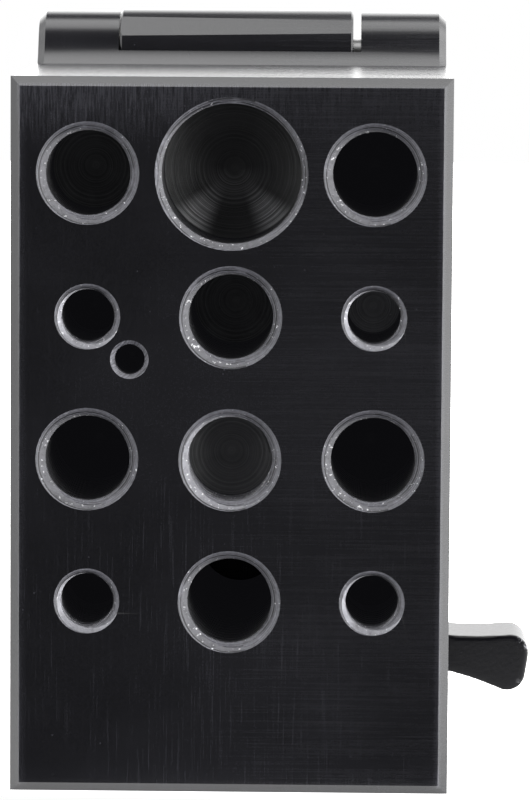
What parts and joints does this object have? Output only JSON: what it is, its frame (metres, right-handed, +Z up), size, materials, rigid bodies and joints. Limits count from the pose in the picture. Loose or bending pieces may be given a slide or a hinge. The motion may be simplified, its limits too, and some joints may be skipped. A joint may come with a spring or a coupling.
{
  "type": "accessory mounting block",
  "caption": "Black anodised accessory mounting block with a grid of tapped holes in its face and a hinged, lever-locked jaw that clamps it to a tube.",
  "frame": {"origin": "on the tube seat's axis, midway across the block's width", "axes": "+X along the tube and the hinge, +Y from the drilled face towards the jaw, +Z up towards the hinge"},
  "size_m": [0.051, 0.0776, 0.0729],
  "materials": {
    "black_anodised": "satin black anodised, machined",
    "stainless": "turned stainless",
    "black_steel": "black oxide",
    "bronze": "sintered bronze",
    "black_powder_coat": "satin black coat on a die casting"
  },
  "bodies": {
    "block": {"mounting_block": "black_anodised", "hinge_pin": "stainless", "hinge_pin_screws": "black_steel", "stud_insert": "stainless"},
    "jaw": {"clamp_jaw": "black_anodised", "knuckle_bushes": "bronze"},
    "washer": {"thrust_washer": "stainless"},
    "screw": {"clamp_stud": "stainless", "lever_core": "black_steel", "lever_spring": "stainless", "lever_screw": "black_steel"},
    "handle": {"lever_handle": "black_powder_coat"}
  },
  "joints": [
    {"name": "jaw_open", "type": "hinge", "parent": "block", "child": "jaw", "pos_m": [0, 0.0096, 0.0296], "axis": [1, 0, 0], "range_deg": [0, 130]},
    {"name": "screw_feed", "type": "slide", "parent": "jaw", "child": "washer", "axis": [0, -1, 0], "range_m": [0, 0.0051]},
    {"name": "lever_turn", "type": "hinge", "parent": "washer", "child": "screw", "pos_m": [0, 0.02, -0.0305], "axis": [0, -1, 0], "range_deg": [0, 1440]},
    {"name": "handle_lift", "type": "slide", "parent": "screw", "child": "handle", "axis": [0, 1, 0], "range_m": [0, 0.003], "stiffness_N_per_m": 700, "springref_m": -0.003, "deforming": ["lever_spring"]}
  ],
  "couplings": [
    {"joint": "screw_feed", "follows": "lever_turn", "m_per_rad": 0.00020213}
  ]
}
